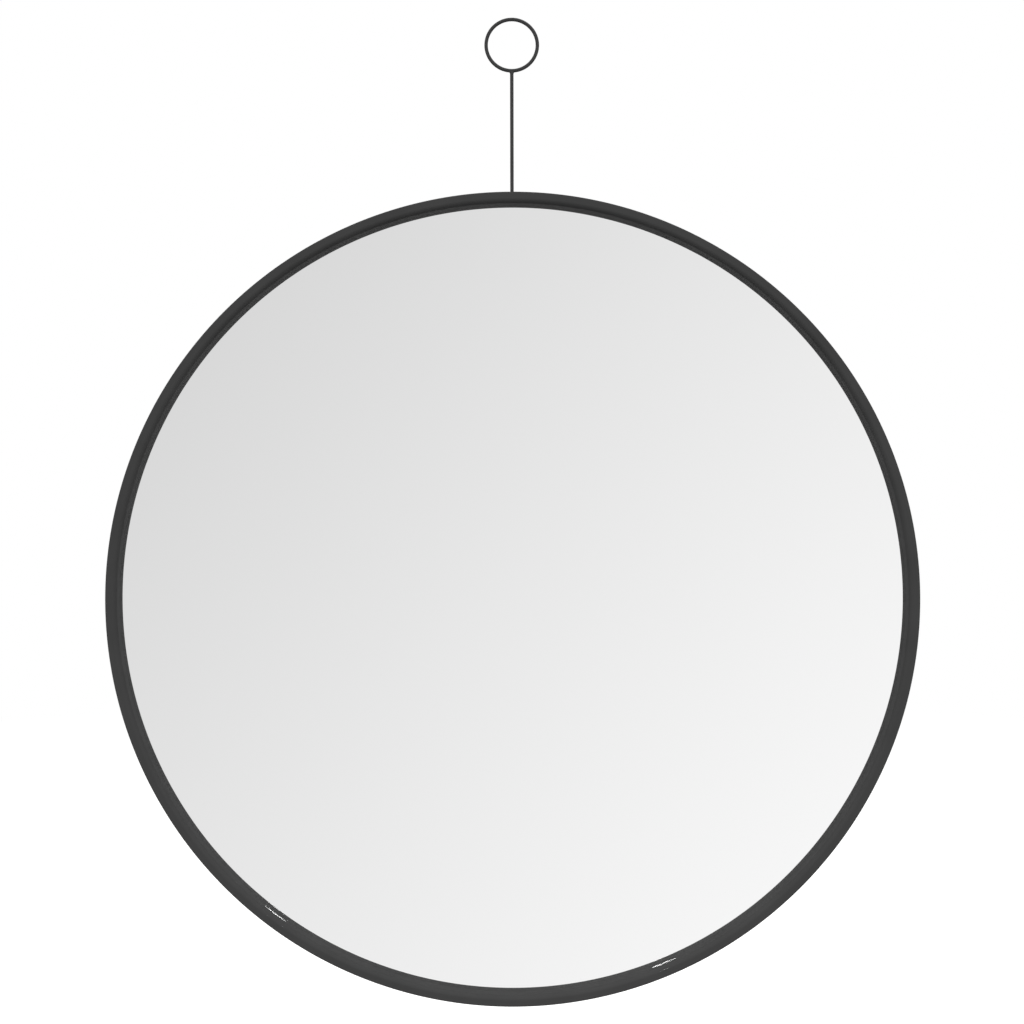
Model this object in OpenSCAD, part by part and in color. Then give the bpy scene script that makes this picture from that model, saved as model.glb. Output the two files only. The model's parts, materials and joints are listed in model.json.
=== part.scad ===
// Round wall mirror in a thin metal frame, hung from a wire ring on a rod.
// The origin is the centre of the ring's eye. +Z is up, the glass faces -Y and the wall is at +Y.
// A depth is a distance behind the frame's front face, towards the wall.

/* [Frame] */
// Outside diameter of the frame
frame_d = 600; // [300:10:900]
// Width of the frame's face, seen from the front
face_w = 8; // [7.5:0.1:12]
// Thickness of the frame's metal
frame_wall = 1.2; // [0.8:0.1:1.3]
// Rounding of the frame's outer edges
outer_round = 0.8; // [0.3:0.1:1.1]
// Rounding of the frame's front edge beside the glass
inner_round = 3.4; // [1.5:0.1:4]
// Depth at which the glass lies
recess = 10.8; // [9:0.1:16]
// Reach of the rear lip in over the back
lip_reach = 2; // [1:0.1:3]

/* [Glass] */
// Thickness of the glass
glass_t = 3; // [2:0.5:6]
// Width of the flat ground on each edge of the glass
arris = 0.5; // [0.2:0.1:0.9]
// Thickness of the silver with the paint that covers it
coating_t = 0.1; // [0.05:0.05:0.3]
// Room around the glass and the board when they pass the lip
pass_gap = 0.8; // [0.3:0.1:1.5]

/* [Hanging ring and rod] */
// Outside diameter of the ring
eye_d = 40.5; // [24:0.5:80]
// Diameter of the wire of the ring and the rod
wire_d = 2.6; // [1.8:0.1:2.8]
// Length of the rod between the ring and the frame
rod_length = 89.3; // [30:0.1:300]
// Length of the rod past its nut
rod_tail = 0.4; // [0.2:0.1:0.5]
// Bevel on the end of the rod
rod_bevel = 0.3; // [0.1:0.1:0.5]

/* [Locknut and washer] */
// Outside diameter of the washer
washer_d = 6; // [5:0.1:7]
// Thickness of the washer
washer_t = 0.5; // [0.3:0.1:0.6]
// Width of the nut across its flats
nut_flats = 5; // [4.6:0.1:5.6]
// Height of the nut
nut_h = 3.8; // [3.4:0.1:3.9]
// Height of the nut's round collar
collar_h = 1.4; // [1.3:0.1:1.8]
// Outside diameter of the collar
collar_d = 4.6; // [4.4:0.1:5]
// Outside diameter of the nylon insert in the collar
insert_d = 3.8; // [3.5:0.1:4]
// Height of the insert
insert_h = 1; // [0.6:0.1:1.1]

/* [Back] */
// Thickness of the backing board
board_t = 2.5; // [2:0.5:5]
// Thickness of the foam pads between glass and board
pad_t = 1; // [0.9:0.1:3]
// Diameter of the foam pads
pad_d = 30; // [15:1:50]
// Number of foam pads in the inner circle
inner_pads = 4; // [3:1:8]
// Number of soft blocks around the edge of the glass
block_count = 6; // [4:1:12]
// Length of each block along the edge
block_l = 40; // [20:1:60]
// Number of rubber bumpers
bumper_count = 4; // [3:1:8]
// Diameter of a bumper on the board
bumper_d = 12; // [8:1:20]
// Diameter of a bumper at the wall
bumper_tip_d = 9; // [5:1:12]
// How far the bumpers stand out behind the frame
bumper_proud = 1; // [0.8:0.1:4]
// Distance of the bumpers from the board's edge
bumper_inset = 25; // [20:1:60]

/* [Turn buttons] */
// Thickness of a turn button
button_t = 1; // [0.8:0.1:2]
// Distance from the pivot to the tip of the nose
button_reach = 20; // [16:1:30]
// Diameter of a turn button's pad at the pivot
button_w = 12; // [10:0.5:16]
// Width of the nose
nose_w = 9; // [8:0.5:9.5]
// Rounding of the nose's corners
nose_round = 3.5; // [1:0.5:3.8]
// Distance from the pivot to the finger lug
lug_reach = 10; // [9:0.5:15]
// Width of the finger lug
lug_w = 8; // [5:0.5:10]
// Height of the finger lug above the turn button
lug_h = 2; // [1:0.1:2.2]
// Inside radius of the bend at the finger lug
bend_r = 0.5; // [0.3:0.1:0.8]

/* [Rivets] */
// Diameter of a rivet's shank
rivet_d = 3; // [2.5:0.1:4]
// Diameter of the flat flange in front of the board
flange_d = 6.5; // [5:0.5:8]
// Thickness of the flange
flange_t = 0.6; // [0.4:0.1:0.8]
// Diameter of the rolled head on the turn button
head_d = 6; // [5:0.5:8]
// Height of the rolled head
head_h = 0.8; // [0.5:0.1:1]
// Diameter of the hollow in the rolled end
hollow_d = 1.8; // [1:0.1:2]

/* [Clearances] */
// Room around a shaft that turns in its hole
shaft_gap = 0.08; // [0.03:0.01:0.1]
// Room between flat faces that slide on each other
slide_gap = 0.1; // [0.05:0.05:0.2]
// Room between a turn button and the lip
lip_gap = 0.3; // [0.1:0.1:1]
// Room between the tip of a turn button and the frame's wall
nose_gap = 0.4; // [0.2:0.1:1]
// Room around a piece that only sits in its place
seat_gap = 0.05; // [0.02:0.01:0.1]

/* [Hidden] */

big_fn = 180;
small_fn = 48;
through = 1; // how far a cut runs past the faces that it opens
full_turn = 360;

// Radii about the centre of the glass
frame_r = frame_d / 2;
channel_r = frame_r - frame_wall;
face_in_r = frame_r - face_w;
inner_leg_r = face_in_r + frame_wall;
lip_r = channel_r - lip_reach;
glass_r = lip_r - pass_gap;
nose_r = channel_r - nose_gap;
pivot_r = nose_r - button_reach;
bumper_r = glass_r - bumper_inset;
outer_pad_r = pivot_r - flange_d / 2 - slide_gap - pad_d / 2;
inner_pad_r = outer_pad_r / 2;

// Depths, from the front to the rear
coating_depth = recess + glass_t;
pad_depth = coating_depth + coating_t;
board_depth = pad_depth + pad_t;
board_rear = board_depth + board_t;
button_depth = board_rear + slide_gap;
head_depth = button_depth + button_t + slide_gap;
lip_depth = button_depth + button_t + lip_gap;
frame_depth = lip_depth + frame_wall;

// Heights and the front face, from the centre of the eye
wire_r = wire_d / 2;
ring_r = eye_d / 2 - wire_r;
frame_top = -(eye_d / 2 + rod_length);
centre_z = frame_top - frame_r;
face_y = -(recess + frame_wall) / 2;

// The washer's rim touches the channel's curved wall before its middle does
washer_sag = channel_r - sqrt(pow(channel_r, 2) - pow(washer_d / 2, 2));
washer_top = frame_top - frame_wall - washer_sag - seat_gap;
nut_top = washer_top - washer_t;
rod_end = nut_top - nut_h - rod_tail;
rod_top = -(ring_r + wire_r / 2);

button_count = 8;
button_step = full_turn / button_count;
top_angle = -90;

frame_black = "#434546";
zinc = "#b9bcbe";
nylon_white = "#e9e7df";
mirror_grey = "#dfe2e3";
glass_green = "#cfe3dc";
board_brown = "#a5805a";
foam_grey = "#8d8f90";
rubber_black = "#2b2b2c";

// Stands what is drawn with its depth along Z on the frame's front face
module at_face() {
    translate([0, face_y, centre_z]) rotate([-90, 0, 0]) children();
}

// Repeats its children in a circle, clockwise seen from the front
module around(count, r, start = 0) {
    for (k = [0 : count - 1])
        rotate([0, 0, start + k * full_turn / count]) translate([r, 0, 0]) children();
}

// What a rounding of radius r takes off a corner at the origin
module corner(r) {
    difference() {
        translate([-through, -through]) square(r + through);
        translate([r, r]) circle(r = r, $fn = small_fn);
    }
}

// Room inside the channel, open to the rear, with the bends' inside roundings
module channel_room() {
    translate([inner_leg_r, frame_wall])
        difference() {
            square([channel_r - inner_leg_r, recess]);
            corner(inner_round - frame_wall);
        }
}

// Section of the frame: x is the radius, y is the depth
module frame_section() {
    difference() {
        union() {
            translate([face_in_r, 0]) square([face_w, recess]);
            translate([channel_r, 0]) square([frame_wall, frame_depth]);
            translate([lip_r, lip_depth]) square([lip_reach + frame_wall, frame_wall]);
        }
        channel_room();
        translate([face_in_r, 0]) corner(inner_round);
        translate([frame_r, 0]) mirror([1, 0]) corner(outer_round);
        translate([frame_r, frame_depth]) rotate(180) corner(outer_round);
    }
}

// Rolled channel with a return lip, drilled at the top for the rod
module frame_ring() {
    color(frame_black)
    difference() {
        at_face() rotate_extrude($fn = big_fn) frame_section();
        translate([0, 0, frame_top - frame_wall - through])
            cylinder(h = frame_wall + 2 * through, r = wire_r + shaft_gap, $fn = small_fn);
    }
}

module ring_wire() {
    rotate([90, 0, 0]) rotate_extrude($fn = big_fn)
        translate([ring_r, 0]) circle(r = wire_r, $fn = small_fn);
}

module hanging_ring() {
    color(frame_black) ring_wire();
}

// Rod coped to the ring's wire, and bevelled at its lower end
module hanging_rod() {
    color(frame_black)
    difference() {
        rotate_extrude($fn = small_fn)
            polygon([[0, rod_end], [wire_r - rod_bevel, rod_end], [wire_r, rod_end + rod_bevel],
                [wire_r, rod_top], [0, rod_top]]);
        ring_wire();
    }
}

module rod_washer() {
    color(zinc)
    translate([0, 0, washer_top - washer_t])
        difference() {
            cylinder(h = washer_t, d = washer_d, $fn = small_fn);
            translate([0, 0, -through])
                cylinder(h = washer_t + 2 * through, r = wire_r + 2 * slide_gap, $fn = small_fn);
        }
}

// Hangs what is drawn upwards from the washer, so that it points down
module below_washer() {
    translate([0, 0, nut_top]) rotate([180, 0, 0]) children();
}

// Hexagon with bevelled corners against the washer, and a collar over the nylon insert
module rod_locknut() {
    hexagon_h = nut_h - collar_h;
    corner_r = nut_flats / 2 / cos(30);
    bevel = corner_r - nut_flats / 2;
    insert_top = nut_h - (collar_h - insert_h);
    color(zinc)
    below_washer()
        difference() {
            union() {
                intersection() {
                    cylinder(h = hexagon_h, r = corner_r, $fn = 6);
                    rotate_extrude($fn = small_fn)
                        polygon([[0, 0], [nut_flats / 2, 0], [corner_r, bevel],
                            [corner_r, hexagon_h], [0, hexagon_h]]);
                }
                translate([0, 0, hexagon_h]) cylinder(h = collar_h, d = collar_d, $fn = small_fn);
            }
            translate([0, 0, -through])
                cylinder(h = nut_h + 2 * through, r = wire_r + seat_gap, $fn = small_fn);
            translate([0, 0, hexagon_h])
                cylinder(h = insert_top - hexagon_h, d = insert_d, $fn = small_fn);
        }
}

module locknut_insert() {
    color(nylon_white)
    below_washer()
        translate([0, 0, nut_h - collar_h])
            difference() {
                cylinder(h = insert_h, d = insert_d, $fn = small_fn);
                translate([0, 0, -through])
                    cylinder(h = insert_h + 2 * through, r = wire_r, $fn = small_fn);
            }
}

// Pane with a flat ground on both edges of its rim
module mirror_glass() {
    color(glass_green, 0.5)
    at_face() rotate_extrude($fn = big_fn)
        polygon([[0, recess], [glass_r - arris, recess], [glass_r, recess + arris],
            [glass_r, coating_depth - arris], [glass_r - arris, coating_depth], [0, coating_depth]]);
}

module silver_coating() {
    color(mirror_grey)
    at_face() translate([0, 0, coating_depth])
        cylinder(h = coating_t, r = glass_r - arris, $fn = big_fn);
}

// Blocks that fill the gap between the glass, the board and the frame's wall
module edge_blocks() {
    block_arc = full_turn * block_l / (2 * PI * glass_r);
    color(rubber_black)
    at_face() around(block_count, 0)
        rotate([0, 0, -block_arc / 2]) rotate_extrude(angle = block_arc, $fn = big_fn)
            translate([glass_r + seat_gap, recess + seat_gap])
                square([channel_r - glass_r - 2 * seat_gap, board_rear - recess - 2 * seat_gap]);
}

module foam_pad() {
    cylinder(h = pad_t, d = pad_d, $fn = small_fn);
}

// Outer pads lie beside the turn buttons, and the inner ones keep the middle from drumming
module foam_pads() {
    color(foam_grey)
    at_face() translate([0, 0, pad_depth]) {
        around(button_count, outer_pad_r, top_angle + button_step / 2) foam_pad();
        around(inner_pads, inner_pad_r, top_angle) foam_pad();
    }
}

module backing_board() {
    color(board_brown)
    at_face() translate([0, 0, board_depth])
        difference() {
            cylinder(h = board_t, r = glass_r, $fn = big_fn);
            around(button_count, pivot_r, top_angle + button_step / 2)
                translate([0, 0, -through])
                    cylinder(h = board_t + 2 * through, r = rivet_d / 2 + seat_gap, $fn = small_fn);
        }
}

// Section of a rivet: flange, shank, and the end rolled over into a head with a round rim
module rivet_section() {
    shank_l = head_depth - board_depth;
    rim_r = head_h / 2;
    difference() {
        union() {
            translate([0, -flange_t]) square([flange_d / 2, flange_t]);
            square([rivet_d / 2, shank_l]);
            translate([0, shank_l]) square([head_d / 2 - rim_r, head_h]);
            translate([head_d / 2 - rim_r, shank_l + rim_r]) circle(r = rim_r, $fn = small_fn);
        }
        translate([-through, board_t]) square([through + hollow_d / 2, shank_l + head_h]);
    }
}

module button_rivets() {
    color(zinc)
    at_face() translate([0, 0, board_depth])
        around(button_count, pivot_r, top_angle + button_step / 2)
            rotate_extrude($fn = small_fn) rivet_section();
}

// Bumper with sides that taper towards the wall
module wall_bumpers() {
    color(rubber_black)
    at_face() translate([0, 0, board_rear])
        around(bumper_count, bumper_r, top_angle + full_turn / bumper_count / 2)
            cylinder(h = frame_depth + bumper_proud - board_rear,
                d1 = bumper_d, d2 = bumper_tip_d, $fn = small_fn);
}

// Plan of a turn button: a round pivot pad, a strip to the rounded nose and one to the lug
module button_plan() {
    difference() {
        union() {
            circle(d = button_w, $fn = small_fn);
            translate([0, -nose_w / 2]) square([button_reach, nose_w]);
            translate([-lug_reach, -lug_w / 2]) square([lug_reach, lug_w]);
        }
        for (side = [0, 1])
            mirror([0, side]) translate([button_reach, nose_w / 2]) rotate(180) corner(nose_round);
    }
}

// Side of a turn button: a flat strip that bends up into the lug
module button_side() {
    translate([-lug_reach, 0])
        difference() {
            square([lug_reach + button_reach, button_t + lug_h]);
            translate([button_t, button_t])
                difference() {
                    square([lug_reach + button_reach, lug_h + through]);
                    corner(bend_r);
                }
            corner(bend_r + button_t);
        }
}

// Turn button k, counted clockwise from the top as seen from the front
module turn_button(k) {
    color(zinc)
    at_face() rotate([0, 0, top_angle + (k - 0.5) * button_step])
        translate([pivot_r, 0, button_depth])
            difference() {
                intersection() {
                    linear_extrude(height = button_t + lug_h) button_plan();
                    translate([0, button_w / 2 + through, 0]) rotate([90, 0, 0])
                        linear_extrude(height = button_w + 2 * through) button_side();
                }
                translate([0, 0, -through])
                    cylinder(h = button_t + 2 * through, r = rivet_d / 2 + shaft_gap, $fn = small_fn);
            }
}

hanging_ring();
hanging_rod();
rod_washer();
rod_locknut();
locknut_insert();
frame_ring();
mirror_glass();
silver_coating();
edge_blocks();
foam_pads();
backing_board();
button_rivets();
wall_bumpers();
for (k = [1 : button_count])
    turn_button(k);
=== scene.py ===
"""Looks of the round wall mirror: its visible pieces, their finishes and a pale studio around them.

Lengths are in metres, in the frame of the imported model: +X is right, +Z is up, the glass faces -Y.
The origin is the centre of the hanging ring's eye. A depth is a distance behind the frame's front.
"""

import json
import math

import bmesh
import bpy
import numpy as np
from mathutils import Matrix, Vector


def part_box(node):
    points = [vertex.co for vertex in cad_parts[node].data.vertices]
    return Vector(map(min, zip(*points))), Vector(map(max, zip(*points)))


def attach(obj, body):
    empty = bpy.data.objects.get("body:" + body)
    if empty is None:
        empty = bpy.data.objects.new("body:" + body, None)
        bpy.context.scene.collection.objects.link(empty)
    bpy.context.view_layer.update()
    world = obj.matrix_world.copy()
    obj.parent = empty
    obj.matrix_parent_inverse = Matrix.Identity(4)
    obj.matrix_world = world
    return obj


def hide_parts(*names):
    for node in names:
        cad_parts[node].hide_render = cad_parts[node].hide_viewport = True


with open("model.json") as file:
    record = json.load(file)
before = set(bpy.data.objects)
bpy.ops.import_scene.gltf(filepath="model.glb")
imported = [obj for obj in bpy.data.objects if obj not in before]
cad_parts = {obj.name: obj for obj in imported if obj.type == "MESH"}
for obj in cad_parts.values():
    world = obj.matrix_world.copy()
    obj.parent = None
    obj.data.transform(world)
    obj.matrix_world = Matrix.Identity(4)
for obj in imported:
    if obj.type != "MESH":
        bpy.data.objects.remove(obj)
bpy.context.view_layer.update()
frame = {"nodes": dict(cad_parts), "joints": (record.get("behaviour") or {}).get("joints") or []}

bl_info = {
    "name": "Round Mirror",
    "version": (1, 0, 0),
    "blender": (4, 5, 0),
    "location": "3D Viewport > Sidebar > Round Mirror",
    "description": "Makes a round wall mirror that hangs from a wire ring on a rod",
    "category": "Object",
}

MM = 0.001

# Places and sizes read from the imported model. A round piece's true radius is at its box's high X.
FRAME_LOW, FRAME_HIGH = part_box("frame_ring")
GLASS_LOW, GLASS_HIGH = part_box("mirror_glass")
COATING_LOW, COATING_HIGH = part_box("silver_coating")
BLOCK_LOW, BLOCK_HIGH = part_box("edge_blocks")
PAD_LOW, PAD_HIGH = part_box("foam_pads")
BOARD_LOW, BOARD_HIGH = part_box("backing_board")
RIVET_LOW, RIVET_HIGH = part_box("button_rivets")
BUMPER_LOW, BUMPER_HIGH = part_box("wall_bumpers")
BUTTON_LOW, BUTTON_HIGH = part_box("turn_button_1")
RING_LOW, RING_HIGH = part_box("hanging_ring")
ROD_LOW, ROD_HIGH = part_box("hanging_rod")
NUT_LOW, NUT_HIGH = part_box("rod_locknut")

FRAME_RADIUS = FRAME_HIGH.x
FRONT_Y = FRAME_LOW.y
CENTRE_Z = FRAME_HIGH.z - FRAME_RADIUS
CENTRE = np.array([0.0, FRONT_Y, CENTRE_Z])
WIRE_RADIUS = ROD_HIGH.x
EYE_RADIUS = RING_HIGH.x - WIRE_RADIUS
TURN_JOINTS = [j for j in frame["joints"] if j["name"].startswith("button_")]
PIVOTS = np.array([j["pos_m"] for j in TURN_JOINTS]) - CENTRE
PIVOT_RADIUS = float(np.hypot(PIVOTS[0, 0], PIVOTS[0, 2]))

# How finely the surfaces are worked out: steps once round a turned piece, then steps along a curve
BIG_STEPS = 720
EYE_STEPS = 256
SMALL_STEPS = 64
WIRE_STEPS = 40
WELD_STEPS = 15
CURVE_STEPS = 12
TIP_STEPS = 10
ROUNDING_STEPS = 8
BLOCK_STEPS = 5
EDGE_STEPS = 4
CUT_STEPS = 3
FLOOR_RINGS = 24
THREAD_ROW = 0.05 * MM
OUTLINE_RAYS = 7200
OUTLINE_HALVINGS = 40
OUTLINE_POINTS = 300
# A straight's shading is held flat by a point this far inside its end
HOLD = 0.05 * MM
SHARP_ANGLE = math.radians(35)
# A round hole is set in a window of the grid: rings between the two, rows and columns of the
# window, and half its width along a row
HOLE_RINGS = 5
HOLE_ROWS = 7
HOLE_COLUMNS = 2
HOLE_REACH = 3 * MM

# The bevel on the rod's threaded end, and how far the weld swells across the wire
END_BEVEL = 0.3 * MM
WELD_SWELL = 0.06 * MM

# The lamps behind the glints: how far off they are, their half width as the mirror sees it, and
# the full angle of their beam
LAMP_DISTANCE = 12
LAMP_HALF_ANGLE = math.radians(0.6)
LAMP_BEAM = math.radians(2.4)

# Sockets of the Mix node: the factor, the two numbers, and the two colours and their result
MIX_FACTOR, NUMBER_A, NUMBER_B, COLOUR_A, COLOUR_B, COLOUR_RESULT = 0, 2, 3, 6, 7, 2


def linear(hex_colour):
    """An sRGB hex colour as linear red, green and blue."""
    parts = [int(hex_colour[i:i + 2], 16) / 255 for i in (1, 3, 5)]
    return tuple(c / 12.92 if c <= 0.04045 else ((c + 0.055) / 1.055) ** 2.4 for c in parts)


def length(name, description, default):
    """A length in metres that the sidebar shows in the scene's unit."""
    return bpy.props.FloatProperty(
        name=name, description=description, default=default, min=0, precision=5,
        subtype="DISTANCE", unit="LENGTH")


def colour(name, description, default):
    """A colour whose default is given as an sRGB hex value."""
    return bpy.props.FloatVectorProperty(
        name=name, description=description, default=linear(default), size=3, min=0, max=1,
        subtype="COLOR")


class RoundMirrorFrameSizes(bpy.types.PropertyGroup):
    """Sizes of the rolled steel frame and the pane in it"""

    face_width: length("Face width", "Width of the frame's front face", 8 * MM)
    wall: length("Metal thickness", "Thickness of the frame's metal", 1.2 * MM)
    outer_rounding: length("Outer rounding", "Rounding of the frame's outer edges", 0.8 * MM)
    inner_rounding: length("Inner rounding", "Rounding of the front edge by the glass", 3.4 * MM)
    wall_lean: length("Wall lean", "How far the wall beside the glass springs out", 0.12 * MM)
    lip_reach: length("Lip reach", "Reach of the rear lip in over the back", 2 * MM)
    cut_rounding: length("Cut edge rounding", "Rounding of the coated cut edges", 0.15 * MM)
    rod_hole: length("Rod hole radius", "Radius of the hole for the rod", 1.38 * MM)
    arris: length("Arris", "Width of the flat ground on each edge of the glass", 0.5 * MM)


class RoundMirrorHangerSizes(bpy.types.PropertyGroup):
    """Sizes of the welded ring and rod"""

    weld_flare: length("Weld flare", "How far the weld widens the rod along the wire", 0.6 * MM)
    weld_height: length("Weld height", "Height of the weld below the ring's wire", 1.6 * MM)
    thread_pitch: length("Thread pitch", "Pitch of the thread on the rod's end", 0.4 * MM)
    thread_depth: length("Thread depth", "Depth of the thread on the rod's end", 0.2 * MM)


class RoundMirrorBackSizes(bpy.types.PropertyGroup):
    """Sizes of the board, its fasteners and its bumpers"""

    board_rounding: length("Board edge rounding", "Rounding of the sawn edges", 0.3 * MM)
    rivet_hole: length("Rivet hole radius", "Radius of the holes for the rivets", 1.55 * MM)
    pad_diameter: length("Pad diameter", "Diameter of the foam pads", 30 * MM)
    pad_bulge: length("Pad bulge", "How far a squeezed pad bulges at its side", 0.4 * MM)
    block_length: length("Block length", "Length of each edge block", 40 * MM)
    block_width: length("Block width", "Width of each edge block across the gap", 2.7 * MM)
    block_rounding: length("Block rounding", "Rounding of the blocks' edges", 0.4 * MM)
    block_gap: length("Block gap", "Gap between the blocks and the frame", 0.05 * MM)
    bumper_diameter: length("Bumper diameter", "Diameter of a bumper on the board", 12 * MM)
    bumper_tip: length("Bumper tip", "Diameter of a bumper at the wall", 9 * MM)
    bumper_rounding: length("Bumper rounding", "Rounding of a bumper's tip", 0.9 * MM)


class RoundMirrorButtonSizes(bpy.types.PropertyGroup):
    """Sizes of the pressed turn buttons and their rivets"""

    thickness: length("Thickness", "Thickness of the strip", 1 * MM)
    reach: length("Reach", "Distance from the pivot to the tip of the nose", 20 * MM)
    pad: length("Pivot pad", "Diameter of the round pad at the pivot", 12 * MM)
    nose_width: length("Nose width", "Width of the nose", 9 * MM)
    nose_rounding: length("Nose rounding", "Rounding of the nose's corners", 3.5 * MM)
    lug_reach: length("Lug reach", "Distance from the pivot to the finger lug", 10 * MM)
    lug_width: length("Lug width", "Width of the finger lug", 8 * MM)
    lug_rounding: length("Lug rounding", "Rounding of the lug's corners", 0.6 * MM)
    bend: length("Bend", "Inside radius of the bend at the lug", 0.5 * MM)
    edge: length("Edge rounding", "Rounding of the tumbled edges", 0.18 * MM)
    hole: length("Hole radius", "Radius of the hole for the rivet", 1.58 * MM)
    shank: length("Rivet shank radius", "Radius of the rivet's shank", 1.5 * MM)
    flange: length("Rivet flange radius", "Radius of the flange in front of the board", 3.25 * MM)
    flange_height: length("Rivet flange height", "Thickness of the flange", 0.6 * MM)
    flange_rounding: length("Rivet flange rounding", "Rounding of its edges", 0.15 * MM)
    head: length("Rivet head radius", "Radius of the rolled head", 3 * MM)
    head_height: length("Rivet head height", "Height of the rolled head", 0.8 * MM)
    hollow: length("Rivet hollow radius", "Radius of the hollow in the rolled end", 0.9 * MM)
    hollow_taper: length("Rivet hollow taper", "Height of the taper at the floor", 0.3 * MM)


class RoundMirrorColours(bpy.types.PropertyGroup):
    """Colours of the finishes"""

    coat: colour("Powder coat", "Black of the frame, ring and rod", "#3e3e3e")
    coat_worn: colour("Powder coat, thin", "The same coat where it lies thinner", "#474747")
    silver: colour("Silver", "What the mirror gives back of white", "#f1f1f1")
    paint: colour("Backing paint", "Grey paint behind the silver", "#7c8482")
    glass_edge: colour("Glass edge", "Ground rim of the float glass", "#6d968a")
    zinc: colour("Zinc", "Zinc plating", "#c3c5c7")
    zinc_dull: colour("Zinc, dull", "Zinc plating where it has dulled", "#9ea1a4")
    nylon: colour("Nylon", "Insert of the locknut", "#e6e3d8")
    rubber: colour("Rubber", "Bumpers and edge blocks", "#29292a")
    foam: colour("Foam", "Pads between glass and board", "#8d8f90")
    board_light: colour("Board fibres", "Pale fibres of the board", "#b48c62")
    board_dark: colour("Board ground", "Darker ground between the fibres", "#93704a")


class RoundMirrorStage(bpy.types.PropertyGroup):
    """The studio, its light and the camera"""

    camera_distance: length("Camera distance", "From the camera to the frame's front", 1.0461)
    camera_rise: length("Camera rise", "Height of the camera above the frame's centre", 0.0642)
    camera_left: length("Camera left", "Distance of the camera left of the rod", 0.4 * MM)
    camera_roll: bpy.props.FloatProperty(
        name="Camera roll", description="Turn of the camera about its line of sight",
        default=math.radians(0.1), subtype="ANGLE", unit="ROTATION")
    floor_drop: length("Floor drop", "Distance of the floor below the frame", 0.3)
    floor_radius: length("Floor radius", "Radius of the pale floor", 12)
    floor_tone: colour("Floor", "Pale floor", "#ececeb")


def settings():
    """All sizes and colours, as they stand in the sidebar."""
    return bpy.context.scene.round_mirror


def arc(centre, radius, start, end, steps=ROUNDING_STEPS):
    """Points on an arc: centre + radius (cos t, sin t), with t from start to end in degrees."""
    t = np.radians(np.linspace(start, end, steps + 1))
    return np.column_stack([centre[0] + radius * np.cos(t), centre[1] + radius * np.sin(t)])


def stretch(start, end):
    """The two points just inside a straight's ends, which keep its shading flat."""
    start, end = np.array(start, float), np.array(end, float)
    step = HOLD * (end - start) / np.linalg.norm(end - start)
    return np.array([start + step, end - step])


def strip(table):
    """Quads between neighbouring rows of a table of point numbers whose rows run once round."""
    after = np.roll(table, -1, axis=1)
    return np.stack([table[:-1], after[:-1], after[1:], table[1:]], axis=-1)


def turned(profile, steps):
    """Profile points (radius, depth) turned about the third axis, row by row.

    The point at angle t is (radius sin t, radius cos t, depth); t = 0 is in the middle of a row.
    """
    t = np.arange(steps) * math.tau / steps - math.pi
    radius, depth = profile[:, :1], profile[:, 1:]
    return np.stack([radius * np.sin(t), radius * np.cos(t), depth + 0 * t], axis=-1)


def fans(table, first_pole, last_pole):
    """Triangles that close a table's first and last rows on their poles."""
    first, last = table[0], table[-1]
    start = [np.full(len(first), first_pole), np.roll(first, -1), first]
    end = [np.full(len(last), last_pole), last, np.roll(last, -1)]
    return np.vstack([np.column_stack(start), np.column_stack(end)])


def numbered(grid):
    """The point numbers of a grid of points, row by row."""
    return np.arange(grid.shape[0] * grid.shape[1]).reshape(grid.shape[:2])


def capped(grid, poles):
    """A shell of a grid of points whose first and last rows close on two poles."""
    table = numbered(grid)
    faces = [strip(table).reshape(-1, 4), fans(table, table.size, table.size + 1)]
    return np.vstack([grid.reshape(-1, 3), poles]), faces


def looped(grid):
    """A shell of a grid of points whose last row joins its first."""
    table = numbered(grid)
    return grid.reshape(-1, 3), [strip(np.vstack([table, table[:1]])).reshape(-1, 4)]


def lathe(profile, steps=SMALL_STEPS):
    """A turned shell of a profile that starts and ends on the axis."""
    poles = [[0, 0, profile[0, 1]], [0, 0, profile[-1, 1]]]
    return capped(turned(profile[1:-1], steps), poles)


def window(table, rows, columns):
    """Point numbers once round the edge of a window in a table of point numbers."""
    return np.concatenate([
        table[rows[0], columns[:-1]], table[rows[:-1], columns[-1]],
        table[rows[-1], columns[:0:-1]], table[rows[:0:-1], columns[0]]])


def drill(points, loops, radius, flatten, curve):
    """Carries the edges of two facing windows in to a round hole, and joins the two through it.

    flatten(points, wall) gives places about the hole on a wall, and curve(places, wall) undoes it.
    Ring k of K lies at edge + k/K (rim - edge); a rim point keeps the direction of its edge point.
    """
    added, faces, rims = [points], [], []
    count = len(points)
    share = np.arange(1, HOLE_RINGS + 1)[:, None, None] / HOLE_RINGS
    for wall, loop in enumerate(loops):
        edge = flatten(points[loop], wall)
        rim = radius * edge / np.linalg.norm(edge, axis=1, keepdims=True)
        rings = curve((edge + share * (rim - edge)).reshape(-1, 2), wall)
        table = np.vstack([loop, count + np.arange(len(rings)).reshape(HOLE_RINGS, -1)])
        faces.append(strip(table).reshape(-1, 4))
        rims.append(table[-1])
        added.append(rings)
        count += len(rings)
    faces.append(strip(np.stack(rims)).reshape(-1, 4))
    return np.vstack(added), np.vstack(faces)


def joined(shells):
    """Several shells as one, each one's faces numbered on from the points before it."""
    starts = np.cumsum([0] + [len(points) for points, _ in shells[:-1]])
    faces = [block + start for (_, blocks), start in zip(shells, starts) for block in blocks]
    return np.vstack([points for points, _ in shells]), faces


def upright(shell, place=CENTRE):
    """A shell with its depth along Z, stood up so that its depth runs to the wall from a place."""
    points, faces = shell
    return np.asarray(place) + points[:, [0, 2, 1]], faces


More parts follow.
